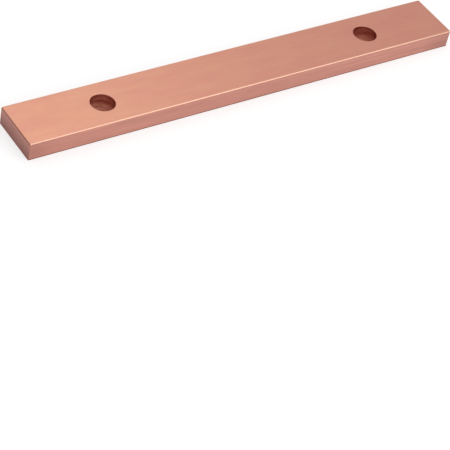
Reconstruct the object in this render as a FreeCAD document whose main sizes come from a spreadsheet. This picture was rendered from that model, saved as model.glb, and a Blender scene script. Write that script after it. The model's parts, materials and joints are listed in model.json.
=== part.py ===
import FreeCAD, Part
import os
import Sketcher

# A copper busbar: one length of drawn flat bar, sawn square at both ends, with a bolt hole near each end.
# The origin is the centre of the underside. X runs along the bar, Y across its width, and Z up through
# its thickness. Every size is in millimetres.

# Driving sizes
SIZES = {
    "bar_length": 260.0,  # end to end
    "bar_width": 30.0,  # across the wide faces
    "bar_thickness": 10.0,  # from the underside to the top face
    "corner_radius": 0.6,  # rounding that drawing leaves on the four long corners
    "end_chamfer": 0.25,  # deburred edge all round each sawn end
    "hole_diameter": 13.0,  # clears a 12 mm bolt
    "hole_inset": 48.5,  # from each sawn end to the axis of its hole
    "rim_chamfer": 0.2,  # deburred edge round both mouths of each hole
}

# Two lengths closer than this are the same length
SAME = 0.001

# Numbers that a sketch gives to its own axes and to the points of a line or circle
X_AXIS, Y_AXIS = range(-1, -3, -1)
START, END, CENTRE = range(1, 4)


def fill_sheet(doc):
    """Puts each driving size in a named cell of a spreadsheet and returns the sheet."""
    sheet = doc.addObject("Spreadsheet::Sheet", "sizes")
    for row, (name, value) in enumerate(SIZES.items(), 1):
        sheet.set(f"A{row}", name)
        sheet.set(f"B{row}", str(value))
        sheet.setAlias(f"B{row}", name)
    doc.recompute()
    return sheet


def origin_plane(body, role):
    """Finds one of the body's own origin planes by its role."""
    return next(feature for feature in body.Origin.OriginFeatures if feature.Role == role)


def add_sketch(body, name, role):
    """Adds an empty sketch on one of the body's origin planes."""
    sketch = body.newObject("Sketcher::SketchObject", name)
    sketch.AttachmentSupport = [(origin_plane(body, role), "")]
    sketch.MapMode = "FlatFace"
    return sketch


def add_dimension(sketch, constraint, formula):
    """Adds a dimension to a sketch and ties it to the driving sizes."""
    number = sketch.addConstraint(constraint)
    sketch.setExpression(f"Constraints[{number}]", formula)


def edges_where(shape, wanted):
    """Names the edges of a shape that pass a test."""
    return [f"Edge{number}" for number, edge in enumerate(shape.Edges, 1) if wanted(edge)]


def is_lengthwise(edge):
    """Tells a long corner of the bar from the edges round its ends."""
    return edge.BoundBox.XLength > SAME


def is_rim(edge):
    """Tells the mouth of a hole, a circle lying flat, from every other edge."""
    return isinstance(edge.Curve, Part.Circle) and edge.BoundBox.ZLength < SAME


def is_on_end(edge, half_length):
    """Tells an edge that lies wholly in a sawn end from every other edge."""
    at_end = all(abs(abs(vertex.X) - half_length) < SAME for vertex in edge.Vertexes)
    return at_end and not is_lengthwise(edge)


def draw_section(body, sheet):
    """Draws the bar's section: a rectangle centred on the width, standing on the underside."""
    sketch = add_sketch(body, "section", "YZ_Plane")
    half_width = sheet.bar_width / 2
    corners = [
        FreeCAD.Vector(-half_width, 0, 0),
        FreeCAD.Vector(half_width, 0, 0),
        FreeCAD.Vector(half_width, sheet.bar_thickness, 0),
        FreeCAD.Vector(-half_width, sheet.bar_thickness, 0),
    ]
    sides = [
        sketch.addGeometry(Part.LineSegment(corner, following), False)
        for corner, following in zip(corners, corners[1:] + corners[:1])
    ]
    for side, following in zip(sides, sides[1:] + sides[:1]):
        sketch.addConstraint(Sketcher.Constraint("Coincident", side, END, following, START))
    underside, right, top, left = sides
    sketch.addConstraint(Sketcher.Constraint("Vertical", right))
    sketch.addConstraint(Sketcher.Constraint("Horizontal", top))
    sketch.addConstraint(Sketcher.Constraint("Vertical", left))
    sketch.addConstraint(Sketcher.Constraint("Symmetric", underside, START, underside, END, Y_AXIS))
    sketch.addConstraint(Sketcher.Constraint("PointOnObject", underside, START, X_AXIS))
    width = Sketcher.Constraint("DistanceX", underside, START, underside, END, sheet.bar_width)
    add_dimension(sketch, width, "sizes.bar_width")
    thickness = Sketcher.Constraint("DistanceY", right, START, right, END, sheet.bar_thickness)
    add_dimension(sketch, thickness, "sizes.bar_thickness")
    return sketch


def draw_hole(body, sheet):
    """Draws the circle of the left hole on the bar's centre line, measured in from the sawn end."""
    sketch = add_sketch(body, "hole_circle", "XY_Plane")
    reach = sheet.bar_length / 2 - sheet.hole_inset
    outline = Part.Circle(FreeCAD.Vector(-reach, 0, 0), FreeCAD.Vector(0, 0, 1), sheet.hole_diameter / 2)
    circle = sketch.addGeometry(outline, False)
    sketch.addConstraint(Sketcher.Constraint("PointOnObject", circle, CENTRE, X_AXIS))
    to_middle = Sketcher.Constraint("DistanceX", circle, CENTRE, X_AXIS, START, reach)
    add_dimension(sketch, to_middle, "sizes.bar_length / 2 - sizes.hole_inset")
    diameter = Sketcher.Constraint("Diameter", circle, sheet.hole_diameter)
    add_dimension(sketch, diameter, "sizes.hole_diameter")
    return sketch


def add_blank(body, sheet):
    """Extrudes the section both ways from the middle of the bar and rounds its four long corners."""
    extrusion = body.newObject("PartDesign::Pad", "bar")
    extrusion.Profile = draw_section(body, sheet)
    extrusion.SideType = "Symmetric"
    extrusion.setExpression("Length", "sizes.bar_length")
    body.Document.recompute()
    rounding = body.newObject("PartDesign::Fillet", "long_corners")
    rounding.Base = (extrusion, edges_where(extrusion.Shape, is_lengthwise))
    rounding.setExpression("Radius", "sizes.corner_radius")
    body.Document.recompute()
    return rounding


def add_holes(body, sheet, blank):
    """Drills the left hole up from the underside, right through, and mirrors it to the other end."""
    drilling = body.newObject("PartDesign::Pocket", "left_hole")
    drilling.Profile = draw_hole(body, sheet)
    drilling.Type = "ThroughAll"
    drilling.Reversed = True
    body.Document.recompute()
    pair = body.newObject("PartDesign::Mirrored", "both_holes")
    pair.Originals = [drilling]
    pair.MirrorPlane = (origin_plane(body, "YZ_Plane"), [""])
    body.Tip = pair
    body.Document.recompute()
    one_hole = blank.Shape.Volume - drilling.Shape.Volume
    two_holes = blank.Shape.Volume - pair.Shape.Volume
    if not 0 < one_hole < two_holes:
        raise RuntimeError("a hole cuts nothing out of the bar")
    return pair


def deburr(body, base, name, edges, size):
    """Breaks the named edges of a feature with a small even chamfer."""
    chamfer = body.newObject("PartDesign::Chamfer", name)
    chamfer.Base = (base, edges)
    chamfer.setExpression("Size", size)
    body.Document.recompute()
    return chamfer


def build_busbar(doc, sheet):
    """Makes the bar in the order of the real work: draw and cut to length, drill, then deburr."""
    body = doc.addObject("PartDesign::Body", "busbar")
    body.Label = "busbar"
    blank = add_blank(body, sheet)
    drilled = add_holes(body, sheet, blank)
    rims = edges_where(drilled.Shape, is_rim)
    smooth_rims = deburr(body, drilled, "hole_rims", rims, "sizes.rim_chamfer")
    half_length = sheet.bar_length / 2
    outlines = edges_where(smooth_rims.Shape, lambda edge: is_on_end(edge, half_length))
    deburr(body, smooth_rims, "sawn_ends", outlines, "sizes.end_chamfer")
    return body


def check(doc, body):
    """Stops unless every object of the document is sound and the body is one valid solid."""
    for item in doc.Objects:
        if {"Invalid", "Error"} & set(item.State):
            raise RuntimeError(f"{item.Label} failed: {item.State}")
    if body.Shape.isNull() or not body.Shape.isValid() or len(body.Shape.Solids) != 1:
        raise RuntimeError(f"{body.Label} isn't one valid solid")


def main():
    """Builds the busbar, checks it and writes its solid."""
    doc = FreeCAD.newDocument("busbar")
    sheet = fill_sheet(doc)
    body = build_busbar(doc, sheet)
    check(doc, body)
    os.makedirs("parts", exist_ok=True)
    body.Shape.exportStep(f"parts/{body.Label}.step")
    print(f"{body.Label}: {body.Shape.Volume:.1f} mm3, {body.Shape.BoundBox}")


main()
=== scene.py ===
"""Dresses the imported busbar: a flat bar of drawn copper, sawn at both ends and drilled near each of them.

Lengths are in metres, apart from those whose names end in mm.
"""

import json
import logging
import math
from collections.abc import Callable
from dataclasses import dataclass
from enum import Enum

import bmesh
import bpy
from mathutils import Matrix, Vector


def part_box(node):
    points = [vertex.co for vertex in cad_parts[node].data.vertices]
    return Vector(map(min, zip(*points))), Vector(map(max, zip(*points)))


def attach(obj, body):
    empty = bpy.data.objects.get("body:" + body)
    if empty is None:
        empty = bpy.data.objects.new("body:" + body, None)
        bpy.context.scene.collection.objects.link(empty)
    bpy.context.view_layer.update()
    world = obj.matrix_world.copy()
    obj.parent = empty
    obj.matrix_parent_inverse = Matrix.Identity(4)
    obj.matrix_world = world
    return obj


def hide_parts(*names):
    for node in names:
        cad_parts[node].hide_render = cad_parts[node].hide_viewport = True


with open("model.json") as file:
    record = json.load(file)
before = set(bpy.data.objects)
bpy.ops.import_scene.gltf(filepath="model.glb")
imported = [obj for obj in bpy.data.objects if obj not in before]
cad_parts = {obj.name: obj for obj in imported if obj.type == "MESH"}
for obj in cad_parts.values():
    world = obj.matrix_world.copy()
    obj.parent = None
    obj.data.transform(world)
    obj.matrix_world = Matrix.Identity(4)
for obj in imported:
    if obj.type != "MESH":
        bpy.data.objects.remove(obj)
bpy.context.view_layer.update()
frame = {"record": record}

NODE = "busbar"
BODY = "root"
MM = 0.001

# The sRGB curve: a straight line near black, then a power
SRGB_KNEE = 0.04045
SRGB_SLOPE = 12.92
SRGB_OFFSET = 0.055
SRGB_POWER = 2.4

# The sockets of a Mix node that hold colours, by number, because its other sockets have the same names
COLOUR_A = 6
COLOUR_B = 7
COLOUR_RESULT = 2

# How many finer layers a finish's noise has, how strong each is beside the one before it, and the value
# that the noise swings about
GRAIN_LAYERS = 6.0
GRAIN_STRENGTH = 0.65
GRAIN_MIDDLE = 0.5

# Parts of a face's unit normal that tell how the face was worked
FACES_THAT_WAY = 0.5  # a flat face points along an axis
RUBBED_HIGHLIGHT_ABOVE = 0.3  # a long corner is rubbed, with a painted highlight, where it points up by more
FILED_SHADE_BELOW = -0.2  # and painted dark as painted shade where it points up by less
WIDE_ABOVE = 0.7  # an end's edge runs out into the wide face where it points up by more
SAWN_BEYOND = 0.95  # and into the end where it points along the bar by more
SAWN_ROUND_CORNER = 0.7  # the same on the end's upright edges

# Half the side of a square of 1 m, which is then stretched to the bar's sizes
UNIT_HALF_SIDE = 0.5

# A bevel's profile that is part of a circle
ROUND_PROFILE = 0.5

# How far outside its radius a hole still holds a point
WALL_SLACK = 0.1 * MM

# How far round a hole its square is looked for, in half sides: just past the square's corners
SQUARE_REACH = 1.5

log = logging.getLogger("busbar")


class Zone(Enum):
    """The ways in which the bar's surface was worked, with a painted highlight and painted shade among
    them, each with its place among the mesh's materials.
    """

    WIDE = 0
    NARROW = 1
    SAWN = 2
    DRILLED = 3
    RUBBED = 4
    FILED = 5


class Axis(Enum):
    """The bar's own directions."""

    LENGTH = "X"
    HEIGHT = "Z"


def linear(hex_colour: str) -> tuple[float, float, float, float]:
    """Turns an sRGB colour into the linear one that a shader takes.

    Args:
        hex_colour: six hex digits after a hash sign.

    Returns:
        Linear red, green and blue, and an alpha of 1.
    """
    channels = (int(hex_colour[start:start + 2], 16) / 255 for start in (1, 3, 5))
    red, green, blue = (
        channel / SRGB_SLOPE
        if channel <= SRGB_KNEE
        else ((channel + SRGB_OFFSET) / (1 + SRGB_OFFSET)) ** SRGB_POWER
        for channel in channels
    )
    return red, green, blue, 1.0


def add_node(
    tree: bpy.types.NodeTree, kind: str, inputs: dict[str | int, object], **settings: object
) -> bpy.types.Node:
    """Adds a node to a material.

    Args:
        tree: the node tree that gets it.
        kind: the node's type name.
        inputs: a value for each input named or numbered, or the output socket that feeds it.
        settings: the node's own properties.

    Returns:
        The new node.
    """
    node = tree.nodes.new(kind)
    for name, value in settings.items():
        setattr(node, name, value)
    for name, value in inputs.items():
        if isinstance(value, bpy.types.NodeSocket):
            tree.links.new(value, node.inputs[name])
        else:
            node.inputs[name].default_value = value
    return node


def show(name: str, bm: bmesh.types.BMesh) -> bpy.types.Object:
    """Turns a finished bmesh into an object of the scene.

    Args:
        name: the object's name.
        bm: its shape, already in place, which is freed.

    Returns:
        The object, at the origin.
    """
    mesh = bpy.data.meshes.new(name)
    bm.to_mesh(mesh)
    bm.free()
    piece = bpy.data.objects.new(name, mesh)
    bpy.context.scene.collection.objects.link(piece)
    return piece


@dataclass(frozen=True)
class Fade:
    """A painted change of a finish from bright to dark along the bar or up it.

    Attributes:
        axis: the direction of the change.
        bright_mm: the place on that axis where the metal is brightest.
        dark_mm: the place where it is darkest.
        share: how much of the tarnish and painted shade follows the fade, the rest following lines and
            patches.
        both_ways: whether the bar fades alike on the other side of the origin.
    """

    axis: Axis
    bright_mm: float
    dark_mm: float
    share: float
    both_ways: bool = False

    def add(self, tree: bpy.types.NodeTree, darkening: bpy.types.NodeSocket) -> bpy.types.NodeSocket:
        """Adds the painted fade to the darkening.

        Args:
            tree: the material's node tree.
            darkening: the socket that gives the tarnish and painted shade so far, from 0 to 1.

        Returns:
            The socket that gives the tarnish and painted shade with the fade, from 0 to 1.
        """
        place = add_node(tree, "ShaderNodeTexCoord", {})
        axes = add_node(tree, "ShaderNodeSeparateXYZ", {"Vector": place.outputs["Object"]})
        along = axes.outputs[self.axis.value]
        if self.both_ways:
            along = add_node(tree, "ShaderNodeMath", {0: along}, operation="ABSOLUTE").outputs[0]
        depth = add_node(
            tree,
            "ShaderNodeMapRange",
            {"Value": along, "From Min": self.bright_mm * MM, "From Max": self.dark_mm * MM},
        )
        both = add_node(
            tree,
            "ShaderNodeMix",
            {"Factor": self.share, "A": darkening, "B": depth.outputs["Result"]},
            data_type="FLOAT",
        )
        return both.outputs["Result"]


@dataclass(frozen=True)
class CopperFinish:
    """Copper worked in one way: a bare metal with tool lines and dull patches, and on most finishes painted
    shade along a fade.

    Attributes:
        name: what the material is called.
        clean: colour of the metal where it is bright.
        dull: colour of the same metal where air and handling have dulled it, and where a fade paints shade
            on it.
        roughness: of the bright metal and of the dull metal.
        line_mm: how far one tool line reaches along X, Y and Z.
        line_depth_mm: how deep the lines are.
        patch_mm: how wide a dull patch is along X, Y and Z.
        line_share: how much of the dulling follows the lines, the rest following the patches.
        blend: how gradual the change from bright to dull is, where 0.5 takes the whole range of the noise.
        fade: how a painted darkening changes over the bar, if it does.
    """

    name: str
    clean: str
    dull: str
    roughness: tuple[float, float]
    line_mm: tuple[float, float, float]
    line_depth_mm: float
    patch_mm: tuple[float, float, float]
    line_share: float
    blend: float = 0.2
    fade: Fade | None = None

    def grain(self, tree: bpy.types.NodeTree, size_mm: tuple[float, float, float]) -> bpy.types.NodeSocket:
        """Lays a noise on the piece whose features have a real size.

        Args:
            tree: the material's node tree.
            size_mm: the size of a feature along X, Y and Z.

        Returns:
            The socket that gives the noise, from 0 to 1.
        """
        place = add_node(tree, "ShaderNodeTexCoord", {})
        scaled = add_node(
            tree,
            "ShaderNodeMapping",
            {"Vector": place.outputs["Object"], "Scale": [1 / (size * MM) for size in size_mm]},
        )
        noise = add_node(
            tree,
            "ShaderNodeTexNoise",
            {
                "Vector": scaled.outputs["Vector"],
                "Scale": 1.0,
                "Detail": GRAIN_LAYERS,
                "Roughness": GRAIN_STRENGTH,
            },
        )
        return noise.outputs["Fac"]

    def make(self) -> bpy.types.Material:
        """Builds the material.

        Returns:
            The material, ready for a mesh.
        """
        material = bpy.data.materials.new(self.name)
        material.use_nodes = True
        tree = material.node_tree
        shader = tree.nodes["Principled BSDF"]
        shader.inputs["Metallic"].default_value = 1.0
        lines = self.grain(tree, self.line_mm)
        patches = self.grain(tree, self.patch_mm)
        mixed = add_node(
            tree,
            "ShaderNodeMix",
            {"Factor": self.line_share, "A": patches, "B": lines},
            data_type="FLOAT",
        )
        darkening = add_node(
            tree,
            "ShaderNodeMapRange",
            {
                "Value": mixed.outputs["Result"],
                "From Min": GRAIN_MIDDLE - self.blend,
                "From Max": GRAIN_MIDDLE + self.blend,
            },
        ).outputs["Result"]
        if self.fade:
            darkening = self.fade.add(tree, darkening)
        colour = add_node(
            tree,
            "ShaderNodeMix",
            {"Factor": darkening, COLOUR_A: linear(self.clean), COLOUR_B: linear(self.dull)},
            data_type="RGBA",
        )
        bright, tarnished = self.roughness
        gloss = add_node(
            tree, "ShaderNodeMapRange", {"Value": darkening, "To Min": bright, "To Max": tarnished}
        )
        relief = add_node(
            tree,
            "ShaderNodeBump",
            {"Height": lines, "Distance": self.line_depth_mm * MM, "Strength": 1.0},
        )
        tree.links.new(colour.outputs[COLOUR_RESULT], shader.inputs["Base Color"])
        tree.links.new(gloss.outputs["Result"], shader.inputs["Roughness"])
        tree.links.new(relief.outputs["Normal"], shader.inputs["Normal"])
        return material


# Bare copper bar pulled through a die: a warm satin, brushed lengthwise by the die, golden where it is
# clean and cloudy pink where hands and air have touched it. It is painted darker towards the right end as
# painted shade, for the lamps' reflection that weakens along the bar. Real die lines are about a tenth of a
# millimetre apart, too fine for the picture, so they are drawn wider.
DRAWN_COPPER = CopperFinish(
    name="copper_drawn_satin",
    clean="#EEB092",
    dull="#E99C8D",
    roughness=(0.3, 0.36),
    line_mm=(120.0, 0.9, 0.9),
    line_depth_mm=0.002,
    patch_mm=(22.0, 8.0, 8.0),
    line_share=0.4,
    blend=0.15,
    # painted shade: darker towards the right end
    fade=Fade(Axis.LENGTH, bright_mm=-130.0, dark_mm=130.0, share=0.35),
)

# The same drawn copper on the narrow faces, painted darker and pinker than on the wide ones as painted
# shade for the shaded table that these faces mirror, and darker still close to both ends.
SHADED_NARROW_COPPER = CopperFinish(
    name="copper_drawn_narrow_painted_shade",
    # painted shade: both colours are a darker copy of the drawn copper
    clean="#D09384",
    dull="#AD796D",
    roughness=(0.34, 0.4),
    line_mm=(90.0, 0.9, 0.9),
    line_depth_mm=0.002,
    patch_mm=(24.0, 7.0, 5.0),
    line_share=0.6,
    blend=0.12,
    fade=Fade(Axis.LENGTH, bright_mm=112.0, dark_mm=128.0, share=0.45, both_ways=True),
)

# Copper cut across by a saw: greyer and duller than the drawn faces, with upright lines left by the teeth.
# Its colours are painted darker as well, and darker still towards the underside, as painted shade for the
# shaded table that the end mirrors.
SAWN_COPPER = CopperFinish(
    name="copper_sawn",
    clean="#B98075",
    dull="#7F544C",
    roughness=(0.4, 0.5),
    line_mm=(4.0, 0.9, 14.0),
    line_depth_mm=0.01,
    patch_mm=(6.0, 5.0, 7.0),
    line_share=0.6,
    # painted shade: darker towards the underside
    fade=Fade(Axis.HEIGHT, bright_mm=10.0, dark_mm=0.0, share=0.7),
)

# Copper cut by a twist drill: a rough wall with rings round it, fading to a dark brown that is painted
# shade, where little light gets in, and paler towards its foot as painted light off the paper below. Real
# feed marks are about a quarter of a millimetre apart, too fine for the picture, so the rings are wider.
DRILLED_COPPER = CopperFinish(
    name="copper_drilled",
    clean="#E7A188",
    # painted shade: the dark brown that the wall fades to
    dull="#973727",
    roughness=(0.36, 0.55),
    line_mm=(20.0, 20.0, 1.9),
    line_depth_mm=0.05,
    patch_mm=(5.2, 5.2, 2.8),
    line_share=0.6,
    blend=0.1,
    # painted light at the foot of the wall, painted shade above it
    fade=Fade(Axis.HEIGHT, bright_mm=0.5, dark_mm=5.5, share=0.5),
)

# Copper edge smoothed by the die and by handling, so that it catches the lamps as a fine line, and painted
# paler than the wide faces as a painted highlight.
RUBBED_HIGHLIGHT_COPPER = CopperFinish(
    name="copper_rubbed_edge_painted_highlight",
    # painted highlight: paler than the drawn copper
    clean="#FBCAB0",
    dull="#F5BEA3",
    roughness=(0.24, 0.3),
    line_mm=(40.0, 1.5, 1.5),
    line_depth_mm=0.001,
    patch_mm=(20.0, 6.0, 6.0),
    line_share=0.4,
)

# Copper edges broken with a file across the sawn ends, and the rounding along the underside: painted as a
# thin, dark, browned line, which is painted shade for the dark room and the table's shade that these edges
# face.
FILED_SHADE_COPPER = CopperFinish(
    # painted shade: a dark brown edge line
    name="copper_filed_edge_painted_shade",
    clean="#885848",
    dull="#74493B",
    roughness=(0.45, 0.55),
    line_mm=(1.5, 1.5, 1.5),
    line_depth_mm=0.004,
    patch_mm=(8.0, 6.0, 6.0),
    line_share=0.4,
)

FINISHES = {
    Zone.WIDE: DRAWN_COPPER,
    Zone.NARROW: SHADED_NARROW_COPPER,
    Zone.SAWN: SAWN_COPPER,
    Zone.DRILLED: DRILLED_COPPER,
    Zone.RUBBED: RUBBED_HIGHLIGHT_COPPER,
    Zone.FILED: FILED_SHADE_COPPER,
}


def upright_zone(normal: Vector) -> Zone:
    """Tells how a part of an end's upright edge was worked: sawn at the end and drawn round the corner."""
    return Zone.SAWN if abs(normal.x) > SAWN_ROUND_CORNER else Zone.NARROW


def outline_zone(normal: Vector) -> Zone:
    """Tells how a part of the edge round a wide face was worked, and where a highlight and shade are
    painted on it.

    The long corners are rubbed, with a painted highlight, above, drawn at the side, and painted dark as
    painted shade below. At the sawn ends the edge is a filed line, painted dark as painted shade, that runs
    out into the faces beside it.

    Args:
        normal: the way that this part faces.

    Returns:
        The way of working.
    """
    if abs(normal.y) > abs(normal.x):
        if normal.z > RUBBED_HIGHLIGHT_ABOVE:
            return Zone.RUBBED
        return Zone.NARROW if normal.z > FILED_SHADE_BELOW else Zone.FILED
    if normal.z > WIDE_ABOVE:
        return Zone.WIDE
    return Zone.SAWN if abs(normal.x) > SAWN_BEYOND else Zone.FILED


def rim_zone(normal: Vector) -> Zone:
    """Tells how a part of a hole's mouth was worked: like the wide face that it is in, all round."""
    return Zone.WIDE


@dataclass(frozen=True)
class Rounding:
    """One way of breaking an edge.

    Attributes:
        width: how far the rounding reaches on each side of the edge.
        steps: how many faces it is made of.
        zone_of: tells from the way that a face points how it was worked, and so where highlight and shade
            are painted.
    """

    width: float
    steps: int
    zone_of: Callable[[Vector], Zone]

    def cut(self, bm: bmesh.types.BMesh, edges: list[bmesh.types.BMEdge]) -> None:
        """Rounds some edges and marks how the new faces were worked.

        Args:
            bm: the bar.
            edges: the edges to round.
        """
        rounded = bmesh.ops.bevel(
            bm,
            geom=edges,
            offset=self.width,
            affect="EDGES",
            segments=self.steps,
            profile=ROUND_PROFILE,
            material=-1,
        )
        for face in rounded["faces"]:
            face.material_index = self.zone_of(face.normal).value


@dataclass(frozen=True)
class BoltHole:
    """A round hole drilled straight through the bar.

    Attributes:
        x: the place of its axis along the bar.
        radius: half its diameter.
    """

    x: float
    radius: float

    def holds(self, point: Vector) -> bool:
        """Tells whether a point lies inside the hole or on its wall."""
        return math.hypot(point.x - self.x, point.y) < self.radius + WALL_SLACK


@dataclass
class Bar:
    """The bar: a length of drawn flat with rounded long corners, two sawn ends and two drilled holes.

    Attributes:
        low: its lowest corner.
        high: its highest corner.
        holes: the holes through it.
        uprights: rounding of the upright edges of each sawn end.
        outline: rounding of the edge round each wide face.
        rims: rounding of both mouths of each hole.
        land: half side of the square of face round a hole that is meshed as a ring.
        rim_sides: straight sides that a hole's circle is made of.
    """

    low: Vector
    high: Vector
    holes: list[BoltHole]
    uprights: Rounding = Rounding(0.8 * MM, 6, upright_zone)
    outline: Rounding = Rounding(0.6 * MM, 6, outline_zone)
    rims: Rounding = Rounding(0.2 * MM, 2, rim_zone)
    land: float = 10 * MM
    rim_sides: int = 96

    @classmethod
    def from_frame(cls) -> "Bar":
        """Takes the bar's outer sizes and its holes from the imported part.

        Returns:
            The bar, not yet built.
        """
        low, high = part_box(NODE)
        bores = [mount for mount in frame["record"]["mounts"] if mount["kind"] == "bore"]
        holes = [BoltHole(bore["pos_m"][0], bore["dims"]["r_mm"] * MM) for bore in bores]
        return cls(low, high, holes)

    def lay_sheet(self) -> bmesh.types.BMesh:
        """Lays the bar's underside as a flat sheet, divided so that a square stands round each hole.

        Returns:
            The sheet, still without its holes.
        """
        bm = bmesh.new()
        size = self.high - self.low
        middle = (self.high + self.low) / 2
        place = Matrix.Translation((middle.x, middle.y, self.low.z))
        stretch = Matrix.Diagonal((size.x, size.y, 1, 1))
        bmesh.ops.create_grid(
            bm, x_segments=1, y_segments=1, size=UNIT_HALF_SIDE, matrix=place @ stretch
        )
        sides = (-self.land, self.land)
        across = [(hole.x + side, Vector((1, 0, 0))) for hole in self.holes for side in sides]
        along = [(side, Vector((0, 1, 0))) for side in sides]
        for distance, normal in across + along:
            everything = bm.verts[:] + bm.edges[:] + bm.faces[:]
            bmesh.ops.bisect_plane(bm, geom=everything, plane_co=normal * distance, plane_no=normal)
        return bm

    def drill(self, bm: bmesh.types.BMesh, hole: BoltHole) -> None:
        """Opens a hole in the sheet, by cutting out its square and bridging that to a circle.

        Args:
            bm: the sheet.
            hole: the hole to open.
        """
        axis = Vector((hole.x, 0, self.low.z))
        square = min(bm.faces, key=lambda face: (face.calc_center_median() - axis).length)
        corners = set(square.verts)
        bmesh.ops.delete(bm, geom=[square], context="FACES_ONLY")
        sides = [edge for edge in bm.edges if set(edge.verts) <= corners]
        bmesh.ops.bisect_edges(bm, edges=sides, cuts=self.rim_sides // len(sides) - 1)
        bmesh.ops.create_circle(
            bm, segments=self.rim_sides, radius=hole.radius, matrix=Matrix.Translation(axis)
        )
        reach = SQUARE_REACH * self.land
        open_edges = [edge for edge in bm.edges if len(edge.link_faces) < 2]
        near = [
            edge for edge in open_edges if all((vert.co - axis).length < reach for vert in edge.verts)
        ]
        bmesh.ops.bridge_loops(bm, edges=near)

    def raise_walls(self, bm: bmesh.types.BMesh) -> None:
        """Pulls the sheet up to the bar's thickness and closes it as a solid.

        Args:
            bm: the drilled sheet.
        """
        pulled = bmesh.ops.extrude_face_region(bm, geom=bm.faces[:])
        top = [item for item in pulled["geom"] if isinstance(item, bmesh.types.BMVert)]
        bmesh.ops.translate(bm, verts=top, vec=(0, 0, self.high.z - self.low.z))
        bmesh.ops.recalc_face_normals(bm, faces=bm.faces[:])

    def zone_of(self, face: bmesh.types.BMFace) -> Zone:
        """Tells how a face of the sharp-edged bar was worked.

        Args:
            face: the face.

        Returns:
            The way of working.
        """
        upright = abs(face.normal.z) < FACES_THAT_WAY
        if upright and any(hole.holds(face.calc_center_median()) for hole in self.holes):
            return Zone.DRILLED
        if abs(face.normal.x) > FACES_THAT_WAY:
            return Zone.SAWN
        return Zone.NARROW if upright else Zone.WIDE

    @staticmethod
    def border(bm: bmesh.types.BMesh, zone: Zone) -> list[bmesh.types.BMEdge]:
        """Finds the edges round all faces that were worked in one way.

        Args:
            bm: the bar.
            zone: the way of working.

        Returns:
            The edges with one such face beside them.
        """
        return [
            edge
            for edge in bm.edges
            if sum(face.material_index == zone.value for face in edge.link_faces) == 1
        ]

    def build(self) -> bpy.types.Object:
        """Makes the bar: drills its underside, pulls that up to a solid and breaks the edges.

        Returns:
            The bar, undressed.
        """
        bm = self.lay_sheet()
        for hole in self.holes:
            self.drill(bm, hole)
        self.raise_walls(bm)
        for face in bm.faces:
            face.material_index = self.zone_of(face).value
        end_edges = self.border(bm, Zone.SAWN)
        self.uprights.cut(bm, [edge for edge in self.border(bm, Zone.NARROW) if edge in end_edges])
        mouths = self.border(bm, Zone.DRILLED)
        self.outline.cut(bm, [edge for edge in self.border(bm, Zone.WIDE) if edge not in mouths])
        self.rims.cut(bm, self.border(bm, Zone.DRILLED))
        for face in bm.faces:
            face.smooth = True
        return show("drawn_bar", bm)

    def dress(self, piece: bpy.types.Object) -> None:
        """Gives the bar its finishes and keeps its flats flat beside the rounded edges.

        Args:
            piece: the bar as built.
        """
        for zone in Zone:
            piece.data.materials.append(FINISHES[zone].make())
        piece.modifiers.new("flats", "WEIGHTED_NORMAL")
        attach(piece, BODY)
        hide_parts(NODE)


@dataclass(frozen=True)
class Softbox:
    """A rectangular soft light that faces the bar.

    Attributes:
        name: what the lamp is called.
        turn_deg: its bearing seen from above, from +X towards +Y.
        rise_deg: its height above the floor.
        width: its size from side to side.
        height: its size the other way.
        brightness: how bright its face looks, where 1 is the picture's white.
        distance: how far it stands from the middle of the bar.
    """

    name: str
    turn_deg: float
    rise_deg: float
    width: float
    height: float
    brightness: float
    distance: float = 1.2

    def hang(self) -> None:
        """Adds the lamp to the scene."""
        lamp = bpy.data.lights.new(self.name, "AREA")
        lamp.shape = "RECTANGLE"
        lamp.size = self.width
        lamp.size_y = self.height
        lamp.energy = math.pi * self.width * self.height * self.brightness
        turn = math.radians(self.turn_deg)
        rise = math.radians(self.rise_deg)
        out = math.cos(rise)
        towards = Vector((out * math.cos(turn), out * math.sin(turn), math.sin(rise)))
        stand = bpy.data.objects.new(self.name, lamp)
        stand.location = towards * self.distance
        stand.rotation_euler = towards.to_track_quat("Z", "Y").to_euler()
        stand.visible_camera = False
        bpy.context.scene.collection.objects.link(stand)


@dataclass(frozen=True)
class Viewpoint:
    """Where the camera stands, fitted to the corners and holes of the bar in the photograph.

    Attributes:
        turn_deg: the camera's bearing, from straight in front of the bar towards its right.
        rise_deg: its height above the floor, seen from the middle of the bar.
        distance: how far it stands from the middle of the bar.
        aim: the point of the floor in the middle of the picture.
        roll_deg: how far the camera is rolled about its line of sight.
        lens_mm: focal length on the sensor below.
        sensor_mm: width of the sensor.
    """

    turn_deg: float = -40.58
    rise_deg: float = 37.60
    distance: float = 0.931
    aim: tuple[float, float, float] = (-0.06425, -0.08994, 0.0)
    roll_deg: float = 13.24
    lens_mm: float = 142.99
    sensor_mm: float = 36.0

    def place(self) -> None:
        """Adds the camera and makes it the scene's own."""
        camera = bpy.data.cameras.new("camera")
        camera.lens = self.lens_mm
        camera.sensor_width = self.sensor_mm
        turn = math.radians(self.turn_deg)
        rise = math.radians(self.rise_deg)
        out = math.cos(rise) * self.distance
        stand = bpy.data.objects.new("camera", camera)
        stand.location = (out * math.sin(turn), -out * math.cos(turn), math.sin(rise) * self.distance)
        level = (Vector(self.aim) - stand.location).to_track_quat("-Z", "Y")
        roll = Matrix.Rotation(math.radians(self.roll_deg), 4, "Z")
        stand.rotation_euler = (level.to_matrix().to_4x4() @ roll).to_euler()
        bpy.context.scene.collection.objects.link(stand)
        bpy.context.scene.camera = stand


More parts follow.
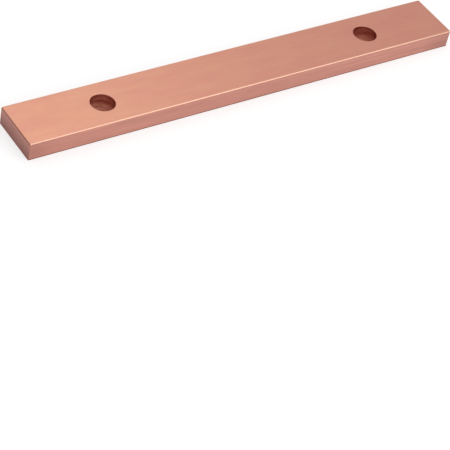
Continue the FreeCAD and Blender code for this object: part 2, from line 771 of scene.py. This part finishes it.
@dataclass(frozen=True)
class Paper:
    """Matt paper that the picture and the metal see brighter than the light on it makes it.

    Attributes:
        name: what the material is called.
        colour: colour of the paper.
        lift: how much brighter it looks, where 1 is the picture's white.
    """

    name: str
    colour: str
    lift: float

    def glow(self, tree: bpy.types.NodeTree, shader: bpy.types.Node, path: bpy.types.Node) -> None:
        """Gives the paper an even white lift."""
        shader.inputs["Emission Color"].default_value = (self.lift, self.lift, self.lift, 1.0)

    def make(self) -> bpy.types.Material:
        """Builds the material.

        Returns:
            The material, ready for a mesh.
        """
        material = bpy.data.materials.new(self.name)
        material.use_nodes = True
        tree = material.node_tree
        shader = tree.nodes["Principled BSDF"]
        shader.inputs["Base Color"].default_value = linear(self.colour)
        shader.inputs["Roughness"].default_value = 1.0
        shader.inputs["Specular IOR Level"].default_value = 0.0
        path = add_node(tree, "ShaderNodeLightPath", {})
        seen = path.outputs["Is Camera Ray"]
        for ray in ("Is Glossy Ray", "Is Transmission Ray"):
            either = add_node(tree, "ShaderNodeMath", {0: seen, 1: path.outputs[ray]}, operation="MAXIMUM")
            seen = either.outputs[0]
        tree.links.new(seen, shader.inputs["Emission Strength"])
        self.glow(tree, shader, path)
        return material


@dataclass(frozen=True)
class ShaftPaper(Paper):
    """The paper under the bar, which shows only through the holes: painted shade, deepest at their walls,
    with painted light in the middle.

    Attributes:
        hole: one of the two holes, which stand alike on both sides of the middle.
        warmth: colour of the painted shade and painted bounce light off the copper, close to the wall.
        mirrored: how bright the painted glow is that the wall mirrors, where 1 is white.
        shaded: share of the hole's radius beyond which the paper is in full painted shade.
        open: share of the hole's radius within which it gets the most painted light.
    """

    hole: BoltHole
    warmth: str
    mirrored: float
    shaded: float = 0.8
    open: float = 0.4

    def glow(self, tree: bpy.types.NodeTree, shader: bpy.types.Node, path: bpy.types.Node) -> None:
        """Paints light on the middle of each hole's floor, and painted shade, warmed like light off the
        copper, at its edge.

        Args:
            tree: the material's node tree.
            shader: the node that gets the glow.
            path: the node that tells the rays apart.
        """
        place = add_node(tree, "ShaderNodeTexCoord", {})
        folded = add_node(tree, "ShaderNodeVectorMath", {0: place.outputs["Object"]}, operation="ABSOLUTE")
        axis = (abs(self.hole.x), 0.0, 0.0)
        out = add_node(tree, "ShaderNodeVectorMath", {0: folded.outputs[0], 1: axis}, operation="DISTANCE")
        outer = self.hole.radius * self.shaded
        inner = self.hole.radius * self.open
        # painted light in the middle of the hole's floor, painted shade towards its wall
        light = add_node(
            tree,
            "ShaderNodeMapRange",
            {"Value": out.outputs["Value"], "From Min": outer, "From Max": inner},
        )
        white = (self.lift, self.lift, self.lift, 1.0)
        floor = add_node(
            tree,
            "ShaderNodeMix",
            {"Factor": light.outputs["Result"], COLOUR_A: linear(self.warmth), COLOUR_B: white},
            data_type="RGBA",
        )
        mirror = (self.mirrored, self.mirrored, self.mirrored, 1.0)
        # painted reflection: the even glow that the hole's wall mirrors
        either = add_node(
            tree,
            "ShaderNodeMix",
            {
                "Factor": path.outputs["Is Glossy Ray"],
                COLOUR_A: floor.outputs[COLOUR_RESULT],
                COLOUR_B: mirror,
            },
            data_type="RGBA",
        )
        tree.links.new(either.outputs[COLOUR_RESULT], shader.inputs["Emission Color"])


@dataclass(frozen=True)
class Studio:
    """A plain white table in a pale room, with softboxes behind the bar and in front of it.

    Attributes:
        lamps: the softboxes.
        room: brightness of the room all round, where 1 is white.
        reach: half the table's width.
        gap: how far the table top lies below the bar.
    """

    lamps: tuple[Softbox, ...] = (
        Softbox("back_panel", turn_deg=50, rise_deg=52, width=0.9, height=0.7, brightness=0.14),
        Softbox("back_strip", turn_deg=70, rise_deg=55, width=0.6, height=0.7, brightness=0.42),
        Softbox("key_softbox", turn_deg=-50, rise_deg=45, width=0.5, height=0.8, brightness=0.78),
        Softbox("front_softbox", turn_deg=-70, rise_deg=25, width=1.2, height=0.5, brightness=1.05),
        Softbox("camera_side_softbox", turn_deg=-112, rise_deg=32, width=0.6, height=0.4, brightness=1.0),
    )
    room: float = 0.6
    reach: float = 8.0
    gap: float = 0.05 * MM

    def light(self) -> None:
        """Hangs the lamps and paints the room."""
        for lamp in self.lamps:
            lamp.hang()
        world = bpy.data.worlds.new("room")
        bpy.context.scene.world = world
        world.use_nodes = True
        background = world.node_tree.nodes["Background"]
        background.inputs["Color"].default_value = (1.0, 1.0, 1.0, 1.0)
        background.inputs["Strength"].default_value = self.room

    def lay_table(self, hole: BoltHole) -> None:
        """Lays the table top, with a paper of painted shade and light of its own on the part that the bar
        covers.

        Args:
            hole: one of the two holes that the table shows through.
        """
        low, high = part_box(NODE)
        bm = bmesh.new()
        level = Matrix.Translation((0, 0, low.z - self.gap))
        bmesh.ops.create_grid(bm, x_segments=1, y_segments=1, size=self.reach, matrix=level)
        for corner in (low, high):
            for normal in (Vector((1, 0, 0)), Vector((0, 1, 0))):
                everything = bm.verts[:] + bm.edges[:] + bm.faces[:]
                bmesh.ops.bisect_plane(bm, geom=everything, plane_co=corner, plane_no=normal)
        # Matt white paper: an even white from edge to edge, with nothing on it but the bar's soft shadow.
        open_paper = Paper("paper_white_matt", colour="#C8C8C8", lift=0.605)
        # Paper at the foot of the holes: painted brown and warm as painted shade and painted bounce light,
        # so they look deep.
        shaft_paper = ShaftPaper(
            "paper_painted_shade_covered",
            # painted shade: a brown sheet where the bar covers the table
            colour="#8C6458",
            lift=0.4,
            hole=hole,
            warmth="#6E3A2C",
            mirrored=0.42,
        )
        papers = [open_paper, shaft_paper]
        covered = min(bm.faces, key=lambda face: face.calc_center_median().length)
        covered.material_index = papers.index(shaft_paper)
        table = show("table", bm)
        for paper in papers:
            table.data.materials.append(paper.make())


def main() -> None:
    """Builds and dresses the bar, then sets up the studio and the camera."""
    logging.basicConfig(level=logging.INFO, format="%(name)s: %(message)s")
    bar = Bar.from_frame()
    piece = bar.build()
    bar.dress(piece)
    log.info("%s: %d faces, %d holes", piece.name, len(piece.data.polygons), len(bar.holes))
    studio = Studio()
    studio.lay_table(bar.holes[0])
    studio.light()
    log.info("studio: %d lamps", len(studio.lamps))
    Viewpoint().place()
    bpy.context.scene.view_settings.view_transform = "Standard"


if __name__ == "__main__":
    main()
